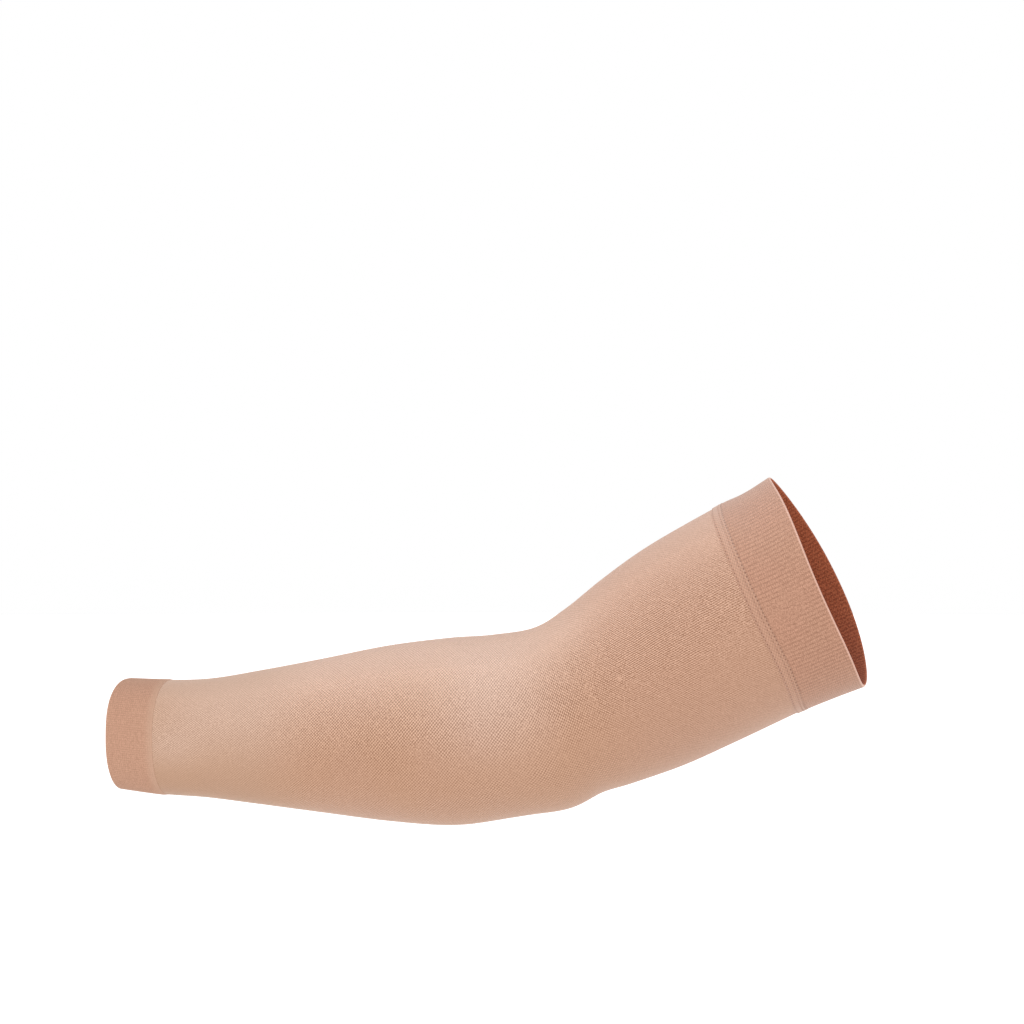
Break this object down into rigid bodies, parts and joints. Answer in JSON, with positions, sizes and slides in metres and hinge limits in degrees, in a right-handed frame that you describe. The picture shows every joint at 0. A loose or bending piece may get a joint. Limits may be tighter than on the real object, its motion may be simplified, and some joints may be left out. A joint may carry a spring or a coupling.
{
  "type": "sun protection arm sleeve",
  "caption": "Seamless stretch-knit sleeve that covers the arm from wrist to upper arm, in its worn bent form, with ribbed cuffs at both open ends.",
  "frame": {"origin": "middle of the hollow at the bent elbow, where the wearer's elbow joint sits", "axes": "the wrist lies towards -X, the upper arm climbs towards +X and +Z, the arm bends in the XZ plane and Y is across it"},
  "size_m": [0.4006, 0.1038, 0.1829],
  "materials": {
    "mesh_knit": "tan nylon and elastane knit with a fine staggered mesh",
    "rib_knit": "slightly darker doubled 1x1 rib of the same yarn"
  },
  "bodies": {
    "root": {"arm_tube": "mesh_knit", "wrist_cuff": "rib_knit", "hem_seam": "rib_knit", "upper_cuff": "rib_knit"}
  },
  "joints": []
}
